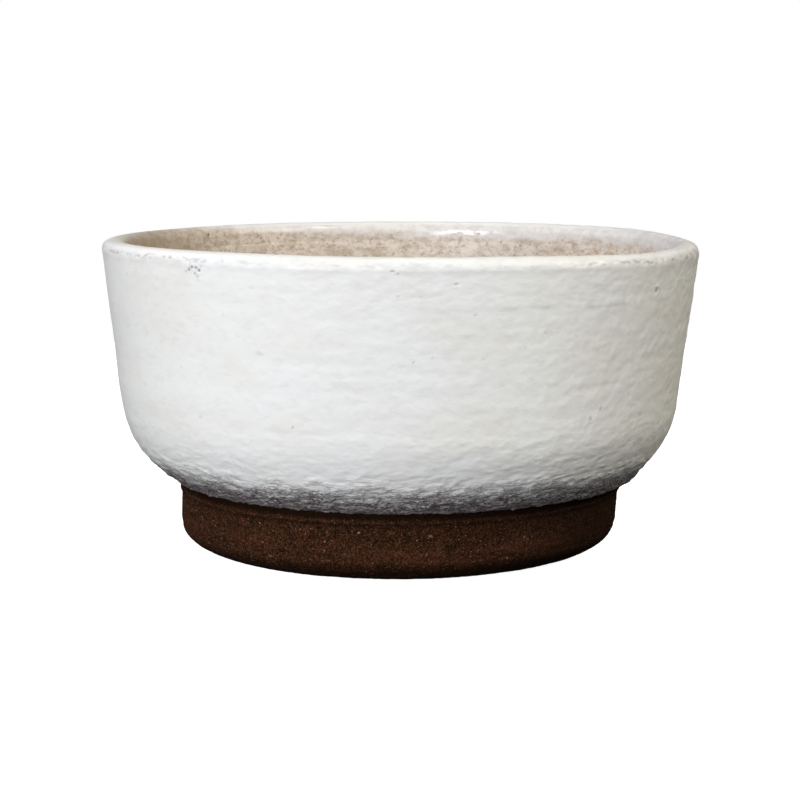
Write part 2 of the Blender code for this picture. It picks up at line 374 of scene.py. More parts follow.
class Material:
    """A node material, built with short calls. Lengths in its textures are in metres."""

    def __init__(self, name, **constants):
        self.data = bpy.data.materials.new(name)
        self.data.use_nodes = True
        self.tree = self.data.node_tree
        self.shader = self.tree.nodes["Principled BSDF"]
        self.place = self.add("ShaderNodeTexCoord").outputs["Object"]
        for socket, value in constants.items():
            self.shader.inputs[socket.replace("_", " ")].default_value = value

    def add(self, kind, inputs=None, **settings):
        """A new node. An input is another node's socket, which is linked, or a constant."""
        made = self.tree.nodes.new(kind)
        for name, value in settings.items():
            setattr(made, name, value)
        for socket, value in (inputs or {}).items():
            if isinstance(value, bpy.types.NodeSocket):
                self.tree.links.new(value, made.inputs[socket])
            else:
                made.inputs[socket].default_value = value
        return made

    def painted(self, name):
        """The number stored at each point under that name."""
        return self.add("ShaderNodeAttribute", attribute_name=name).outputs["Fac"]

    def noise(self, size, detail=3.0, roughness=0.55, squash=1.0, place=None):
        """Noise with features about size millimetres wide, squash times as wide as tall."""
        inputs = {"Vector": place or self.place, "Scale": (1.0, 1.0, squash)}
        stretched = self.add("ShaderNodeMapping", inputs)
        inputs = {"Vector": stretched.outputs[0], "Scale": 1 / (size * MM), "Detail": detail,
                  "Roughness": roughness}
        return self.add("ShaderNodeTexNoise", inputs).outputs["Fac"]

    def grains(self, size, share, fill):
        """Ragged spots on a share of the cells of a cell pattern. fill is their radius in cells."""
        inputs = {"Vector": self.place, "Scale": 1.6 / (size * MM), "Detail": 2.0}
        shake = self.add("ShaderNodeTexNoise", inputs).outputs["Color"]
        inputs = {0: shake, 1: (0.55 * size * MM,) * 3, 2: self.place}
        shaken = self.add("ShaderNodeVectorMath", inputs, operation="MULTIPLY_ADD").outputs[0]
        cells = self.add("ShaderNodeTexVoronoi", {"Vector": shaken, "Scale": 1 / (size * MM)})
        drawn = self.add("ShaderNodeSeparateColor", {"Color": cells.outputs["Color"]})
        chosen = self.ramp(drawn.outputs[0], 1 - share - 0.05, 1 - share + 0.05)
        radius = self.ramp(drawn.outputs[1], 0.0, 1.0, 0.5 * fill, 1.2 * fill)
        inside = self.ramp(self.math("DIVIDE", cells.outputs["Distance"], radius), 1.0, 0.6)
        return self.math("MULTIPLY", inside, chosen)

    def ramp(self, value, low, high, to_low=0.0, to_high=1.0):
        """to_low where the value is at low, to_high where it is at high, eased between them."""
        inputs = {"Value": value, "From Min": low, "From Max": high, "To Min": to_low,
                  "To Max": to_high}
        made = self.add("ShaderNodeMapRange", inputs, interpolation_type="SMOOTHSTEP")
        return made.outputs[0]

    def math(self, operation, a, b):
        """One operation on two numbers."""
        return self.add("ShaderNodeMath", {0: a, 1: b}, operation=operation).outputs[0]

    def mix(self, factor, a, b):
        """Colour a where the factor is 0 and b where it is 1."""
        a, b = [(*c, 1.0) if isinstance(c, tuple) else c for c in (a, b)]
        return self.add("ShaderNodeMix", {0: factor, 6: a, 7: b}, data_type="RGBA").outputs[2]

    def bump(self, height, depth):
        """Raises the surface by up to depth millimetres where the height is 1."""
        inputs = {"Height": height, "Distance": depth * MM, "Strength": 1.0}
        if self.shader.inputs["Normal"].is_linked:
            inputs["Normal"] = self.shader.inputs["Normal"].links[0].from_socket
        raised = self.add("ShaderNodeBump", inputs)
        self.tree.links.new(raised.outputs[0], self.shader.inputs["Normal"])

    def finish(self, colour, roughness):
        """Links the two to the shader, and gives Blender's own material."""
        self.tree.links.new(colour, self.shader.inputs["Base Color"])
        self.tree.links.new(roughness, self.shader.inputs["Roughness"])
        return self.data


def mottled_tan(m):
    """Colour of the inside, where the glaze is thin and the clay shows in brown and pink specks."""
    tan = m.mix(m.ramp(m.noise(7, 5, 0.62, squash=1.6), 0.38, 0.62),
                (0.68, 0.615, 0.54), (0.51, 0.43, 0.35))
    pink = m.ramp(m.noise(4, 4, squash=1.5), 0.50, 0.66, 0.0, 0.7)
    tan = m.mix(pink, tan, (0.70, 0.585, 0.545))
    brown = m.ramp(m.noise(2.4, 4, squash=1.4), 0.50, 0.66, 0.0, 0.75)
    tan = m.mix(brown, tan, (0.37, 0.285, 0.225))
    # darker and browner towards the inside's left end: a browner glaze, and painted shade in that
    # corner
    tan = m.mix(m.painted("brown_and_shade"), tan, (0.30, 0.215, 0.135))
    return m.mix(m.ramp(m.noise(1.0, 2), 0.63, 0.73, 0.0, 0.6), tan, (0.22, 0.145, 0.105))


def pale_inside(m):
    """Colour of the inside just below the lip, where the thick coat thins out."""
    return m.mix(m.ramp(m.noise(4, 4), 0.42, 0.62), (0.73, 0.715, 0.71), (0.67, 0.625, 0.605))


def white_glaze():
    """Thick satin glaze: nearly white, ashen and then dark where it is dragged thin at the foot,
    with painted shade in its crevices and fine grooves there.
    """
    m = Material("white_glaze", IOR=1.5)
    low, gloss = m.painted("low"), m.painted("gloss")
    unrolled = m.add("ShaderNodeAttribute", attribute_name="unrolled").outputs["Vector"]
    drag = m.noise(9, 4, 0.62, squash=3.6, place=unrolled)
    streaks = m.noise(4, 3, 0.6, squash=3.2, place=unrolled)
    clouds = m.noise(7, 4, squash=1.8, place=unrolled)
    flecks = m.noise(1.2, 3, 0.62, squash=1.6)
    off_middle = m.math("ABSOLUTE", m.math("SUBTRACT", drag, 0.5), 0.0)
    between = m.ramp(off_middle, 0.004, 0.034)

    white = m.mix(m.ramp(m.noise(34, 4, squash=1.6), 0.42, 0.66),
                  (0.805, 0.81, 0.805), (0.785, 0.78, 0.757))
    white = m.mix(m.ramp(m.noise(5, 3, squash=2.2), 0.5, 0.72, 0.0, 0.35),
                  white, (0.68, 0.675, 0.66))
    ash = m.mix(m.ramp(clouds, 0.42, 0.60), (0.47, 0.44, 0.457), (0.32, 0.281, 0.290))
    ash = m.mix(m.ramp(streaks, 0.46, 0.64, 0.0, 0.75), ash, (0.19, 0.165, 0.17))
    ash = m.mix(m.ramp(flecks, 0.47, 0.40, 0.0, 0.4), ash, (0.64, 0.60, 0.63))
    ash = m.mix(m.ramp(flecks, 0.52, 0.60, 0.0, 0.85), ash, (0.08, 0.063, 0.063))
    # painted shade: thin dark lines in the fine grooves between the dragged ridges
    ash = m.mix(m.ramp(between, 0.0, 1.0, 1.0, 0.0), ash, (0.045, 0.034, 0.034))
    bare = m.mix(m.ramp(streaks, 0.42, 0.56), (0.19, 0.15, 0.15), (0.045, 0.03, 0.024))
    bare = m.mix(m.ramp(flecks, 0.49, 0.58, 0.7, 0.0), bare, (0.36, 0.31, 0.32))

    colour = m.mix(low, white, ash)
    # painted shade in the crevices near the foot
    colour = m.mix(m.painted("crevice_shade"), colour, (0.11, 0.085, 0.085))
    colour = m.mix(m.painted("thin"), colour, bare)
    colour = m.mix(m.painted("inner"), colour, pale_inside(m))
    colour = m.mix(m.painted("tan"), colour, mottled_tan(m))
    # greyer at chips, under the lip and on the worn lip top, and painted shade along the tool
    # line's groove
    colour = m.mix(m.painted("scuff_and_line_shade"), colour, (0.42, 0.40, 0.42))
    colour = m.mix(m.painted("pit"), colour, (0.035, 0.028, 0.024))

    calm = m.ramp(gloss, 0.0, 1.0, 1.0, 0.2)
    m.bump(m.math("MULTIPLY", m.noise(2.6, 3, squash=1.5), calm), 0.075)
    m.bump(m.math("MULTIPLY", m.noise(0.9, 3, squash=1.3), calm), 0.022)
    for height, depth in ((drag, 2.6), (streaks, 1.3), (between, 0.35), (flecks, 0.9)):
        m.bump(m.math("MULTIPLY", height, low), depth)
    satin = m.ramp(low, 0.0, 1.0, 0.46, 0.30)
    return m.finish(colour, m.math("MULTIPLY", satin, m.ramp(gloss, 0.0, 1.0, 1.0, 0.24)))


def liner_glaze():
    """Thin glaze on the inside: mottled tan, paler where it comes up to the thick coat."""
    m = Material("liner_glaze", IOR=1.5)
    m.bump(m.noise(2.6, 3, squash=1.5), 0.13)
    m.bump(m.noise(0.9, 3, squash=1.3), 0.05)
    colour = m.mix(m.painted("tan"), pale_inside(m), mottled_tan(m))
    return m.finish(colour, m.ramp(m.noise(4, 3), 0.35, 0.65, 0.36, 0.48))


def bare_clay(name, dark, brown, red, grog):
    """Coarse stoneware: mottled brown, with pale grains of grog and a gritty surface."""
    def tone(colour, share):
        """A darker or lighter shade of a colour."""
        return tuple(share * c for c in colour)

    m = Material(name, IOR=1.45, Specular_IOR_Level=0.06)
    colour = m.mix(m.ramp(m.noise(3.5, 5, 0.65, squash=1.4), 0.36, 0.64), dark, brown)
    # the reddish band, and the painted highlight along the foot's ridge
    colour = m.mix(m.painted("red"), colour, red)
    colour = m.mix(m.ramp(m.noise(0.9, 3, 0.65), 0.44, 0.60, 0.0, 0.75), colour, tone(dark, 0.6))
    grit = m.noise(0.75, 3, 0.75)
    colour = m.mix(m.ramp(grit, 0.54, 0.62, 0.0, 0.9), colour, tone(red, 1.3))
    colour = m.mix(m.ramp(grit, 0.47, 0.39, 0.0, 0.95), colour, tone(dark, 0.25))
    grains = m.math("MAXIMUM", m.grains(1.0, 0.34, 0.30), m.grains(2.6, 0.13, 0.22))
    patches = m.ramp(m.noise(6, 2), 0.3, 0.7, 0.15, 0.95)
    colour = m.mix(m.math("MULTIPLY", grains, patches), colour, grog)
    # painted shade in the groove, on the right side and low down, where the mesh stores it
    colour = m.mix(m.painted("shade"), colour, tone(dark, 0.45))
    m.bump(m.noise(14, 3, squash=9.0), 0.35)
    m.bump(m.noise(1.2, 4, 0.7), 0.6)
    m.bump(grains, 0.10)
    return m.finish(colour, m.ramp(m.noise(3, 3), 0.3, 0.7, 0.78, 0.95))


def screen_plastic():
    """Dark moulded plastic."""
    m = Material("screen_plastic")
    colour = m.mix(m.ramp(m.noise(8), 0.4, 0.6), (0.018, 0.022, 0.02), (0.032, 0.036, 0.033))
    m.bump(m.noise(0.5, 2), 0.03)
    return m.finish(colour, m.ramp(m.noise(2), 0.35, 0.65, 0.42, 0.6))


def clip_wire():
    """Aluminium wire, slightly bronzed."""
    m = Material("clip_wire", Metallic=1.0)
    colour = m.mix(m.ramp(m.noise(4), 0.35, 0.65), (0.52, 0.42, 0.33), (0.66, 0.58, 0.49))
    m.bump(m.noise(0.4, 2), 0.02)
    return m.finish(colour, m.ramp(m.noise(1.5), 0.35, 0.65, 0.28, 0.45))


# ---------------------------------------------------------------- the coats of glaze

COLUMNS = 1080
LINER_COLUMNS = COLUMNS * 2 // 3
COAT_END = 11.5                  # depth below the lip where the thick coat ends inside
LINER_START = 5.0                # depth below the lip where the thin coat starts, beneath it
LINER_END = 37.0                 # height where the thin coat ends
COAT_BACK = 1.35                 # thickness of a coat's solid
WALL_START = 43.0                # length along the outline at the top of the belly
LIP_START = 98.0                 # and 18 mm below the lip
WRAP_RADIUS = 112.0              # of the cylinder that the coats' noise is wrapped round
TAN_WRAP_RADIUS = 115.0          # the same for the noise of the tan glaze's upper edge
MARK_RADIUS = 125.0              # where the marks' widths are measured
NO_HEIGHT = -1000.0              # where there are no marks
SCRATCH_HEIGHT = 115.8           # of the faint line of a tool
CHIP_HEIGHT = 132.8              # of the row of chips under the lip
SMALL_PITS = 90
OUTER_BACK_ROWS = 14             # about this many behind the thick coat
LINER_BACK_STEP = 8              # a back row behind every so many of the thin coat

# Marks that show in the thick glaze outside: turn, height, half width, half height, depth
MARKS = [
    (-39.0, 129.9, 0.75, 0.5, 1.2), (-38.0, 129.8, 0.7, 0.5, 1.2), (-37.3, 128.8, 0.6, 0.6, 1.0),
    (-39.6, 128.9, 0.5, 0.6, 0.9), (-38.3, 127.6, 0.5, 0.4, 0.6), (-37.8, 126.4, 0.4, 0.6, 0.45),
    (-40.4, 128.2, 0.5, 0.4, 0.4), (-36.8, 130.5, 0.4, 0.45, 0.4), (-39.4, 131.2, 0.4, 0.4, 0.3),
    (-1.2, 131.0, 0.8, 0.4, 0.45), (-0.4, 129.9, 0.45, 0.3, 0.4), (-0.2, 121.3, 0.3, 0.45, 0.7),
    (9.5, 125.9, 0.4, 0.5, 1.0), (53.9, 120.2, 0.5, 1.1, 1.2),
    (40.9, 73.0, 0.5, 0.7, 0.4), (38.5, 69.5, 0.6, 0.9, 0.35), (53.8, 68.0, 0.7, 1.0, 0.3),
    (-20.0, 69.0, 0.5, 0.5, 0.3), (152.0, 110.0, 0.7, 0.6, 0.5), (-118.0, 96.0, 0.6, 0.7, 0.5),
    (105.0, 124.0, 0.6, 0.5, 0.5),
]

# The same for the marks on the inner wall
INNER_MARKS = [
    (-130.6, 132.4, 0.85, 0.75, 1.1), (-145.7, 129.2, 0.7, 0.6, 0.5), (161.2, 130.2, 0.6, 0.4, 0.5),
]


def press_marks(points, turns, here, marks):
    """Depth of the pits at each point, and how dark each one is. here says which rows have them."""
    depth = np.zeros((len(points), len(turns)))
    dark = np.zeros_like(depth)
    heights = np.where(here, points[:, 1], NO_HEIGHT)
    for turn, z, half_wide, half_tall, deep in marks:
        rows = np.flatnonzero(np.abs(heights - z) < 4 * half_tall + 1)
        arc = turn_from(turns, turn) * math.pi / 180 * MARK_RADIUS
        columns = np.flatnonzero(np.abs(arc) < 4 * half_wide + 1)
        if len(rows) and len(columns):
            apart = (arc[columns][None, :] / half_wide) ** 2
            apart = apart + ((heights[rows] - z)[:, None] / half_tall) ** 2
            spot = np.ix_(rows, columns)
            rim = 0.25 * deep * np.exp(-(np.sqrt(apart) - 1.9) ** 2 * 4)
            depth[spot] += 0.7 * deep * np.exp(-apart) - rim
            dark[spot] = np.maximum(dark[spot], min(1.0, deep * 1.5) * np.exp(-apart * 1.3))
    return depth, dark


def small_pits(count):
    """Pinholes scattered over the wall, each given by the same five numbers as a mark."""
    draw = np.random.default_rng(SEED)
    pits = []
    for _ in range(count):
        tall = draw.uniform(0.25, 0.5)
        wide = tall * draw.uniform(1.0, 2.0)
        turn, z = draw.uniform(-180, 180), draw.uniform(60.0, 132.0)
        pits.append((turn, z, wide, tall, draw.uniform(0.06, 0.24)))
    return pits


def tan_share(points, turns):
    """How far the inside's colour has gone from white to tan. It starts deeper on the right."""
    depth = HEIGHT - points[:, 1:]
    left = near_turn(turns, -112.0, 42.0)
    wander = layered(surface_places(points[:, 1], turns, TAN_WRAP_RADIUS) / (9, 9, 4), 95, 4, 0.6)
    return smooth(-2.2, 2.2, depth - 7.0 + 7.6 * left + (2.0 - 1.4 * left) * wander)


def brown_and_shade(turns):
    """How much darker and browner the inside is towards its left end: a browner glaze, and painted
    shade in that corner.
    """
    return 0.62 * near_turn(turns, -100.0, 27.0)


def coat_mesh(name, points, normals, stops, turns, surface, step):
    """A closed coat: the glaze's surface, and behind it a plain back with a row every few steps."""
    back_points = (points - normals * COAT_BACK)[::step][::-1]
    front = turned(points, normals, turns, surface)
    behind = turned(back_points, np.zeros_like(back_points), turns, 0.0)
    back_stretch = 0.96 + 0.03 * np.linspace(0, 1, len(back_points))
    stretch = np.concatenate([stops / stops[-1] * 0.95, back_stretch])
    return band_mesh(name, uneven(np.concatenate([front, behind])), stretch)


def relief(places, s, turns):
    """Relief of the thick coat, and painted shade in its crevices near the foot. s is the length
    along it.

    Thrown rings and lumps are everywhere, the belly is knobbly, and it is folded near the foot.
    """
    belly = smooth(WALL_START + 12, 10, s)
    near_foot = smooth(25, 5, s)
    bend = np.stack([2.4 * noise(places / (19, 19, 13), 20 + k) for k in range(3)], axis=-1)
    folds = ridged((places + bend) / (10.5, 10.5, 4.4), 30, 3, 0.55) - 0.62
    knobs = layered((places + bend) / (6.8, 6.8, 3.4), 40, 3, 0.6)
    streaks = ridged((places + 0.35 * bend) / (9.5, 9.5, 2.9), 55, 3, 0.6) - 0.62
    wrinkles = ridged((places + 0.6 * bend) / (13, 13, 8.5), 45, 3, 0.55) - 0.62
    nubs = layered(places / (2.4, 2.4, 1.8), 50, 2, 0.6)
    rings = 0.10 * noise(places / (60, 60, 8.5), 60) + 0.06 * noise(places / (38, 38, 3.8), 61)
    lumps = layered((places + 0.5 * bend) / (7.4, 7.4, 5.2), 70, 3, 0.6)
    patchy = 0.35 + 0.65 * smooth(-0.15, 0.45, noise(places / (40, 40, 22), 75))
    dragged = folds * (0.22 * belly + 0.34 * near_foot) + knobs * (0.31 * belly + 0.14 * near_foot)
    dragged += nubs * (0.03 + 0.05 * belly + 0.12 * near_foot) + streaks * 0.36 * near_foot

    # the right side is more handled, and less dragged
    to_right = np.maximum(np.sin(turns), 0.0) ** 2
    dragged *= 1 - 0.46 * to_right
    handling = 0.88 + 0.6 * np.sin(turns) + 0.1 * to_right
    surface = rings + handling * (lumps * 0.15 + wrinkles * 0.10 * patchy) + dragged
    # the second value is painted shade, darker where the dragged relief is low near the foot
    return surface, 0.9 * smooth(-0.02, -0.36, dragged) * near_foot


def scratched_line(places, height, turns):
    """The faint line of a tool on the wall's right, 0 to 1."""
    waver = 0.9 * noise(places / (26, 26, 300), 80) + 0.3 * noise(places / (5, 5, 300), 82)
    scratch = np.exp(-((height - SCRATCH_HEIGHT - waver) / 0.85) ** 2)
    scratch = scratch * near_turn(turns, 35.0, 22.0)
    return scratch * smooth(-0.25, 0.35, noise(places / (8, 8, 5), 81))


def lip_chips(places, height, turns):
    """Small chips in a row under the lip, 0 to 1, fewer in front."""
    waver = 0.9 * noise(places / (13, 13, 300), 84)
    chips = np.exp(-(height - CHIP_HEIGHT - waver) ** 2)
    ragged = noise(places / (1.9, 1.9, 1.2), 85) + 0.5 * noise(places / (7, 7, 3), 87)
    chips = chips * smooth(0.05, 0.38, ragged)
    return chips * (0.35 + 0.65 * smooth(22, 50, np.abs(turn_from(turns, 0.0))))


def make_outer_coat():
    """The thick coat, from its ragged edge at the foot to its feathered edge inside the lip."""
    turns = np.linspace(-math.pi, math.pi, COLUMNS, endpoint=False)
    path = outer_path(COAT_END)
    points, stops, normals = resample(
        path, lambda s: 0.5 if s < WALL_START + 4 or s > LIP_START else 0.8)
    places = surface_places(stops, turns, WRAP_RADIUS)
    s = stops[:, None]
    outside = normals[:, 0] > 0
    inner_side = (~outside)[:, None]
    height = np.where(outside, points[:, 1], NO_HEIGHT)[:, None]
    below_lip = HEIGHT - points[:, 1:]

    surface, crevice_shade = relief(places, s, turns)
    scratch = scratched_line(places, height, turns)
    chips = lip_chips(places, height, turns)
    depth, dark = press_marks(points, turns, outside, MARKS + small_pits(SMALL_PITS))
    inner_depth, inner_dark = press_marks(points, turns, ~outside, INNER_MARKS)
    depth, dark = depth + inner_depth, dark + inner_dark
    surface -= depth + 0.12 * scratch + 0.22 * chips

    # feathered ends, below and inside
    lower_end = smooth(0.0, 2.2, s - 0.9 - 1.3 * layered(places / (9, 9, 300), 90, 4, 0.6))
    left = stops[-1] - s
    inner_end = smooth(0.3, 8.0, left + 0.5 * layered(places / (11, 11, 300), 93, 4, 0.6))
    surface = np.maximum(surface - (1 - lower_end) - 0.65 * (1 - inner_end), -1.25)
    step = len(points) // OUTER_BACK_ROWS
    mesh = coat_mesh("outer_coat", points, normals, stops, turns, surface, step)

    # what the material reads
    cloud = layered(places / (9, 9, 5), 100, 3)
    mottle = 0.5 + 0.7 * layered(places / (6, 6, 3), 88, 3)
    under_lip = near(height, 132.0, 2.4) * mottle
    worn_lip = smooth(124, 131, points[:, 1:]) * near_turn(turns, 92.0, 34.0, 4) * mottle
    wet = 0.2 + 0.8 * near_turn(turns, 165.0, 9.0, 4) + 0.8 * near_turn(turns, -163.0, 9.0, 4)
    glossy = smooth(0.8, 2.2, below_lip) * smooth(7.2, 5.2, below_lip + 1.2 * cloud)
    painted = {
        "low": smooth(27, 8.5, s + 4 * cloud),
        # painted shade in the crevices near the foot
        "crevice_shade": crevice_shade,
        "thin": np.maximum(0.95 * smooth(10, 2, s + 3 * cloud), 1 - lower_end),
        # the tool line's share is painted shade of its groove; the rest is grey in the glaze
        "scuff_and_line_shade": 0.7 * chips + 0.34 * scratch + 0.30 * under_lip + 0.38 * worn_lip,
        "pit": dark,
        "inner": smooth(0.2, 2.0, below_lip) * inner_side,
        "tan": tan_share(points, turns) * inner_side,
        # a browner glaze and painted shade towards the inside's left end
        "brown_and_shade": brown_and_shade(turns),
        "gloss": glossy * inner_side * wet,
    }
    for name, values in painted.items():
        paint(mesh, name, np.clip(np.broadcast_to(values, surface.shape), 0, 1))
    unrolled = np.zeros((len(mesh.vertices), 3), np.float32)
    unrolled[:surface.size] = places.reshape(-1, 3) * MM
    layer = mesh.attributes.new("unrolled", "FLOAT_VECTOR", "POINT")
    layer.data.foreach_set("vector", unrolled.reshape(-1))
    mesh.materials.append(white_glaze())
    piece("outer_coat", mesh, "white_glaze", "outer_glaze")


def make_liner():
    """The thin coat on the inner wall, from beneath the thick one to its ragged lower edge."""
    turns = np.linspace(-math.pi, math.pi, LINER_COLUMNS, endpoint=False)
    points, stops, normals = resample(inner_path(LINER_START), lambda s: 0.8 if s < 40 else 1.2)
    keep = points[:, 1] > LINER_END
    points, stops, normals = points[keep], stops[keep], normals[keep]
    places = surface_places(stops, turns, WRAP_RADIUS)
    surface = 0.12 * noise(places / (60, 60, 9), 110) + 0.06 * layered(places / (8, 8, 5), 111, 3)
    surface = surface - 0.35
    left = stops[-1] - stops[:, None]
    end = smooth(0.0, 2.5, left + 1.5 * layered(places / (12, 12, 300), 115, 3))
    under_coat = smooth(6.0, 0.0, stops[:, None])
    surface -= 0.9 * (1 - end) + 0.9 * under_coat
    mesh = coat_mesh("liner_coat", points, normals, stops, turns, surface, LINER_BACK_STEP)
    paint(mesh, "tan", tan_share(points, turns), rest=1.0)
    rows = len(mesh.vertices) // len(turns)
    # a browner glaze and painted shade towards the inside's left end
    paint(mesh, "brown_and_shade", np.broadcast_to(brown_and_shade(turns), (rows, len(turns))))
    mesh.materials.append(liner_glaze())
    piece("liner_coat", mesh, "liner_glaze", "inner_glaze")


# ---------------------------------------------------------------- the clay

FOOT_COLUMNS = COLUMNS * 4 // 5
FOOT_WRAP_RADIUS = 96.0          # of the cylinder that the foot's noise is wrapped round
BODY_COLUMNS = 384
AXIS_RADIUS = 0.8                # of the body's first and last row of points
SPIRAL_PITCH = 8.5               # of the throwing spiral on the floor


def hole_centres():
    """Middle of each drainage hole on the plane."""
    angles = [math.tau * k / HOLES + math.pi / 2 for k in range(HOLES)]
    return [(HOLE_CIRCLE * math.cos(a), HOLE_CIRCLE * math.sin(a)) for a in angles]


def make_foot():
    """The foot ring: bare clay with a reddish band and faint turning lines; painted shade in the
    groove, on the right and low down; a painted highlight on the ridge.
    """
    turns = np.linspace(-math.pi, math.pi, FOOT_COLUMNS, endpoint=False)
    points, stops, normals = resample(ring_path()[::-1], lambda s: 0.9 if s < 62 else 0.45)
    places = surface_places(stops, turns, FOOT_WRAP_RADIUS)
    z = points[:, 1:]
    outer = normals[:, :1] > 0
    surface = 0.10 * layered(places / (3.2, 3.2, 2.2), 130, 3)
    surface = surface + 0.12 * layered(places / (16, 16, 6), 135, 3)
    surface += smooth(2.0, 8.0, z) * outer * 0.10 * ridged(places / (22, 22, 1.9), 138, 2)
    touch = smooth(0.0, 1.2, z)
    rows = uneven(turned(points, normals, turns, surface * (0.15 + 0.85 * touch)))
    rows[..., 2] = np.maximum(rows[..., 2], 0.0)
    mesh = band_mesh("foot", rows, stops / stops[-1] * 0.99)

    patch = noise(places / (34, 34, 10), 140) + 0.5 * noise(places / (7, 7, 2.2), 141)
    # the side where light falls on the ridge, for its painted highlight and the shade below it
    lit_side = 0.2 + 0.8 * near_turn(turns, -30.0, 42.0, 4)
    # a reddish band, and a painted highlight along the ridge on the lit side
    red = near(z, 15.0, 4.5) * (0.45 + 1.1 * patch) + 0.35 * lit_side * near(z, 27.4, 0.5)
    # painted shade in the groove under the glaze, and in a line below the ridge on the lit side
    groove = near(z, 29.6, 1.3) + 0.35 * lit_side * near(z, 25.6, 0.8)
    # painted shade on the foot's right side
    right_side_shade = 0.55 * near_turn(turns, 75.0, 50.0, 4)
    paint(mesh, "red", np.clip(red * outer, 0, 1))
    # painted shade: the groove, the right side, and low down where the side turns under
    paint(mesh, "shade", np.clip(groove + right_side_shade + smooth(11, 5, z) * 0.6, 0, 0.9) * outer)
    mesh.materials.append(bare_clay("foot_clay", (0.018, 0.0078, 0.003), (0.050, 0.020, 0.0085),
                                    (0.084, 0.030, 0.0155), (0.27, 0.185, 0.125)))
    piece("foot", mesh, "foot_clay", "foot_ring")


def make_body():
    """The bowl: clay under the glaze, bare floor with a throwing spiral, underside and holes."""
    turns = np.linspace(-math.pi, math.pi, BODY_COLUMNS, endpoint=False)
    glazed = outer_path(COAT_END) + inner_path(COAT_END)[1:]
    glazed, _, out = resample(glazed, lambda s: 1.0)
    clay = [tuple(p) for p in glazed - out * COAT]
    path = line((AXIS_RADIUS, FLOOR_BOTTOM), (RECESS_RADIUS, FLOOR_BOTTOM))
    path += underside_path()[:0:-1] + clay
    path += line((FLOOR_RADIUS - 1.0, FLOOR_TOP), (AXIS_RADIUS, FLOOR_TOP))
    path += [(AXIS_RADIUS, FLOOR_TOP)]

    # the rows are further apart where the coats hide the clay
    hidden = sum(math.dist(a, b) for a, b in zip(path, path[1:])) - 118.0
    points, stops, normals = resample(path, lambda s: 3.5 if 108 < s < hidden else 1.0)
    radius = np.hypot(points[:, :1] * np.sin(turns), points[:, :1] * np.cos(turns))
    along = np.broadcast_to(stops[:, None] * 3, radius.shape)
    flat = np.stack([radius * np.sin(turns), -radius * np.cos(turns), along], axis=-1)
    inside = points[:, 1:] > (FLOOR_TOP + FLOOR_BOTTOM) / 2
    spiral = np.cos(radius * math.tau / SPIRAL_PITCH - turns[None, :])
    spiral = spiral * smooth(2, 12, radius) * inside
    trimming = ridged(flat / (90, 90, 6), 150, 2) * 0.15 * ~inside
    surface = 0.28 * spiral * smooth(86, 70, radius) + trimming
    surface = surface + 0.10 * layered(flat / (5, 5, 5), 152, 3)
    for x, y in hole_centres():
        past = np.hypot(flat[..., 0] - x, flat[..., 1] - y) - HOLE_RADIUS
        surface -= 0.9 * np.exp(-np.clip(past, -0.5, None) / 0.9)
    covered = (points[:, :1] > 84) & (points[:, 1:] > 30)
    surface = np.where(covered, -0.1, surface)
    mesh = capped_mesh("body", uneven(turned(points, normals, turns, surface)))
    mesh.materials.append(bare_clay("body_clay", (0.050, 0.030, 0.021), (0.085, 0.052, 0.036),
                                    (0.11, 0.058, 0.038), (0.32, 0.25, 0.19)))
    body = piece("body", mesh, "stoneware", "bowl_body")
    for x, y in hole_centres():
        cut_hole(body, x, y)
    body.data.shade_smooth()
    body.data.set_sharp_from_angle(angle=math.radians(50))


def cut_hole(body, x, y):
    """Cuts a drainage hole through the floor."""
    bm = bmesh.new()
    bmesh.ops.create_cone(bm, cap_ends=True, segments=96, radius1=HOLE_RADIUS * MM,
                          radius2=HOLE_RADIUS * MM, depth=0.04)
    middle = (x * MM, y * MM, (FLOOR_TOP + FLOOR_BOTTOM) / 2 * MM)
    bmesh.ops.translate(bm, verts=bm.verts, vec=middle)
    mesh = bpy.data.meshes.new("cutter")
    bm.to_mesh(mesh)
    bm.free()
    cutter = bpy.data.objects.new("cutter", mesh)
    bpy.context.scene.collection.objects.link(cutter)
    cut = body.modifiers.new("hole", "BOOLEAN")
    cut.operation = "DIFFERENCE"
    cut.object = cutter
    settle(body)
    bpy.data.objects.remove(cutter)


def settle(made):
    """Applies an object's modifiers."""
    graph = bpy.context.evaluated_depsgraph_get()
    data = bpy.data.meshes.new_from_object(made.evaluated_get(graph))
    made.modifiers.clear()
    made.data = data


# ---------------------------------------------------------------- screens and clips

SCREEN_OPENING = 3.4
SCREEN_BAR = 1.2
SCREEN_CELLS = 7
SCREEN_THICKNESS = 1.2
SCREEN_Z = FLOOR_TOP + 0.3
WIRE = 1.5
CLIP_BEND = 1.25
CLIP_LEG = 2 * (SCREEN_OPENING + SCREEN_BAR)
CLIP_LOOP = 4.0
CLIP_FOOT = 19.0


def drain_place(number, z):
    """Place of a drainage hole's own frame at a height: its X points away from the pot's axis."""
    turn = Matrix.Rotation(math.tau * number / HOLES + math.pi / 2, 4, "Z")
    return turn @ Matrix.Translation((HOLE_CIRCLE * MM, 0.0, z * MM))


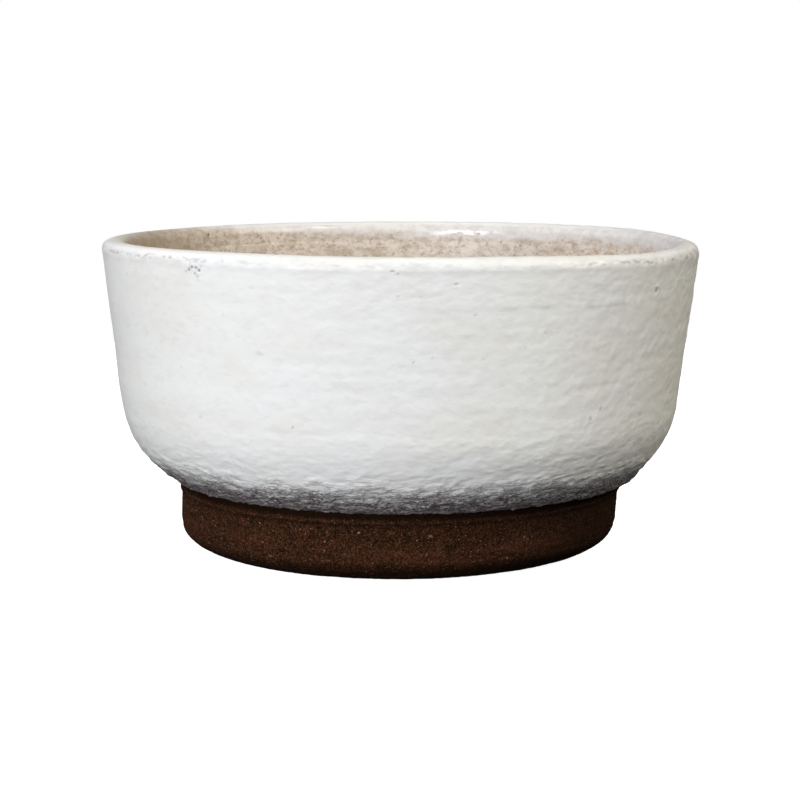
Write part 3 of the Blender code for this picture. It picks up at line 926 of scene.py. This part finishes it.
def screen_faces(bm):
    """Faces of a screen with sharp edges, made one by one so that they are the same in each run."""
    pitch = SCREEN_OPENING + SCREEN_BAR
    half = (SCREEN_CELLS * pitch + SCREEN_BAR) / 2
    stops = [(cell * pitch + side - half) * MM
             for cell in range(SCREEN_CELLS + 1) for side in (0.0, SCREEN_BAR)]
    below, above = [[[bm.verts.new((x, y, z)) for y in stops] for x in stops]
                    for z in (0.0, SCREEN_THICKNESS * MM)]
    spans = range(len(stops) - 1)

    def solid(i, j):
        return i in spans and j in spans and (i % 2 == 0 or j % 2 == 0)

    for i, j in itertools.product(spans, repeat=2):
        if not solid(i, j):
            continue
        corners = [(i, j), (i + 1, j), (i + 1, j + 1), (i, j + 1)]
        bm.faces.new([above[p][q] for p, q in corners])
        bm.faces.new([below[p][q] for p, q in corners[::-1]])
        beside = [(i, j - 1), (i + 1, j), (i, j + 1), (i - 1, j)]
        for k, neighbour in enumerate(beside):
            if not solid(*neighbour):
                (p, q), (r, s) = corners[k], corners[(k + 1) % 4]
                bm.faces.new([below[p][q], below[r][s], above[r][s], above[p][q]])


def make_screen(number, finish):
    """A moulded screen: bars with softened edges and openings between them."""
    bm = bmesh.new()
    screen_faces(bm)
    bm.normal_update()
    sharp = [e for e in bm.edges if e.calc_face_angle(0) > 0.5]
    bmesh.ops.bevel(bm, geom=sharp, offset=0.28 * MM, segments=3, affect="EDGES", profile=0.5)
    bm.transform(drain_place(number, SCREEN_Z))
    mesh = bpy.data.meshes.new(f"screen_{number + 1}")
    bm.to_mesh(mesh)
    bm.free()
    mesh.shade_smooth()
    mesh.materials.append(finish)
    piece(mesh.name, mesh, "screen_plastic", f"drain_mesh_{number + 1}")


def clip_half(bottom, top):
    """Half of a clip's centreline, from a spread leg's end to the middle of the S on the screen."""
    bend, leg_end = CLIP_BEND, CLIP_LEG + CLIP_BEND
    loop_x = leg_end + 1.0
    points = line((CLIP_FOOT, 0.0, bottom), (leg_end, 0.0, bottom), 2)
    lower = quarter((leg_end, bottom + bend), (bend, bend), 270, 180, 8)
    points += [(x, 0.0, z) for x, z in lower]
    points += line((CLIP_LEG, 0.0, bottom + bend), (CLIP_LEG, 0.0, top - bend), 2)
    upper = quarter((leg_end, top - bend), (bend, bend), 180, 90, 8)
    points += [(x, 0.0, z) for x, z in upper]
    points += [(leg_end, 0.0, top)]
    loop = quarter((loop_x, CLIP_LOOP), (CLIP_LOOP, CLIP_LOOP), -90, 90, 24)
    points += [(x, y, top) for x, y in loop]
    points += bezier((loop_x, 2 * CLIP_LOOP, top), (loop_x - 7.0, 2 * CLIP_LOOP, top),
                     (3.0, 3.0, top), (0.0, 0.0, top), 18)
    return points


def make_clip(number, finish):
    """Bent wire: legs through screen and hole, and two flat loops with an S between them on top."""
    bottom = FLOOR_BOTTOM - 0.3 - WIRE / 2
    top = SCREEN_Z + SCREEN_THICKNESS + 0.3 + WIRE / 2 + 0.2
    half = clip_half(bottom, top)
    route = half + [(0.0, 0.0, top)] + [(-x, -y, z) for x, y, z in half[::-1]]
    curve = bpy.data.curves.new(f"clip_{number + 1}", "CURVE")
    curve.dimensions = "3D"
    spline = curve.splines.new("POLY")
    spline.points.add(len(route) - 1)
    for point, place in zip(spline.points, route):
        point.co = (*(drain_place(number, 0.0) @ (Vector(place) * MM)), 1.0)
    curve.bevel_depth = WIRE / 2 * MM
    curve.bevel_resolution = 4
    curve.use_fill_caps = True
    curve.materials.append(finish)
    piece(curve.name, curve, "clip_wire", f"mesh_clip_{number + 1}")


# ---------------------------------------------------------------- studio and camera

def aim(made, place, target):
    """Puts a light or camera at a place, looking at the target."""
    made.location = place
    made.rotation_euler = (Vector(target) - Vector(place)).to_track_quat("-Z", "Y").to_euler()
    bpy.context.scene.collection.objects.link(made)


def make_camera():
    """At the front, a little above the rim."""
    pitch = math.radians(7.92)
    distance = 0.9523
    target = Vector((0.0, 0.0, 0.06375))
    camera = bpy.data.objects.new("camera", bpy.data.cameras.new("camera"))
    camera.data.lens = 96.8
    camera.data.sensor_width = 36.0
    camera.data.clip_start = 0.01
    aim(camera, target + distance * Vector((0.0, -math.cos(pitch), math.sin(pitch))), target)
    bpy.context.scene.camera = camera


# Soft boxes round the pot: name, turn and elevation in degrees, width, height, power and colour
SOFT_BOXES = [
    ("front", -22, 9, 1.6, 0.5, 17.3, (0.965, 0.98, 1.0)),
    ("window", -31, 14, 0.45, 0.5, 6.6, (0.98, 0.99, 1.0)),
    ("key", -33, 36, 0.7, 0.5, 3.5, (1.0, 1.0, 1.0)),
    ("high", 54, 62, 0.35, 0.12, 3.0, (1.0, 1.0, 1.0)),
    ("left", -100, 35, 0.7, 0.7, 6.9, (1.0, 0.975, 0.96)),
    ("right", 75, 35, 0.7, 0.7, 13.9, (1.0, 0.94, 0.78)),
    ("back", 180, 64, 1.0, 0.8, 2.3, (1.0, 0.98, 0.99)),
    ("back left", -140, 32, 0.6, 0.6, 2.2, (1.0, 0.99, 0.99)),
    ("back right", 145, 32, 0.6, 0.6, 1.6, (1.0, 0.99, 0.97)),
]
BOX_DISTANCE = 1.6


def make_studio():
    """Soft boxes, a white ground that gives little light, and a pale floor."""
    middle = Vector((0.0, 0.0, 0.07))
    for name, turn, elevation, width, height, power, colour in SOFT_BOXES:
        light = bpy.data.lights.new(name, "AREA")
        light.shape = "RECTANGLE"
        light.size = width
        light.size_y = height
        light.energy = power
        light.color = colour
        turn, elevation = math.radians(turn), math.radians(elevation)
        flat = math.cos(elevation)
        away = Vector((math.sin(turn) * flat, -math.cos(turn) * flat, math.sin(elevation)))
        aim(bpy.data.objects.new(name, light), middle + away * BOX_DISTANCE, middle)
    world = bpy.data.worlds.new("studio")
    bpy.context.scene.world = world
    world.use_nodes = True
    nodes, links = world.node_tree.nodes, world.node_tree.links
    path = nodes.new("ShaderNodeLightPath")
    seen = nodes.new("ShaderNodeMapRange")
    seen.inputs["To Min"].default_value = 0.05      # the light that the white ground gives
    seen.inputs["To Max"].default_value = 1.0
    links.new(path.outputs["Is Camera Ray"], seen.inputs["Value"])
    links.new(seen.outputs[0], nodes["Background"].inputs["Strength"])
    nodes["Background"].inputs["Color"].default_value = (1.0, 1.0, 1.0, 1.0)
    bm = bmesh.new()
    bmesh.ops.create_grid(bm, x_segments=8, y_segments=8, size=0.8)
    mesh = bpy.data.meshes.new("floor")
    bm.to_mesh(mesh)
    bm.free()
    paper = Material("floor_paper", Roughness=0.9, Emission_Color=(1.0, 1.0, 1.0, 1.0),
                     Emission_Strength=0.97)
    paper.shader.inputs["Base Color"].default_value = (0.8, 0.8, 0.8, 1.0)
    mesh.materials.append(paper.data)
    floor = bpy.data.objects.new("floor", mesh)
    bpy.context.scene.collection.objects.link(floor)
    floor.visible_diffuse = False
    floor.visible_glossy = False
    floor.location.z = -0.2 * MM
    bpy.context.scene.view_settings.view_transform = "Standard"


make_camera()
make_studio()
make_outer_coat()
make_liner()
make_foot()
make_body()
plastic = screen_plastic()
wire = clip_wire()
for hole in range(HOLES):
    make_screen(hole, plastic)
    make_clip(hole, wire)
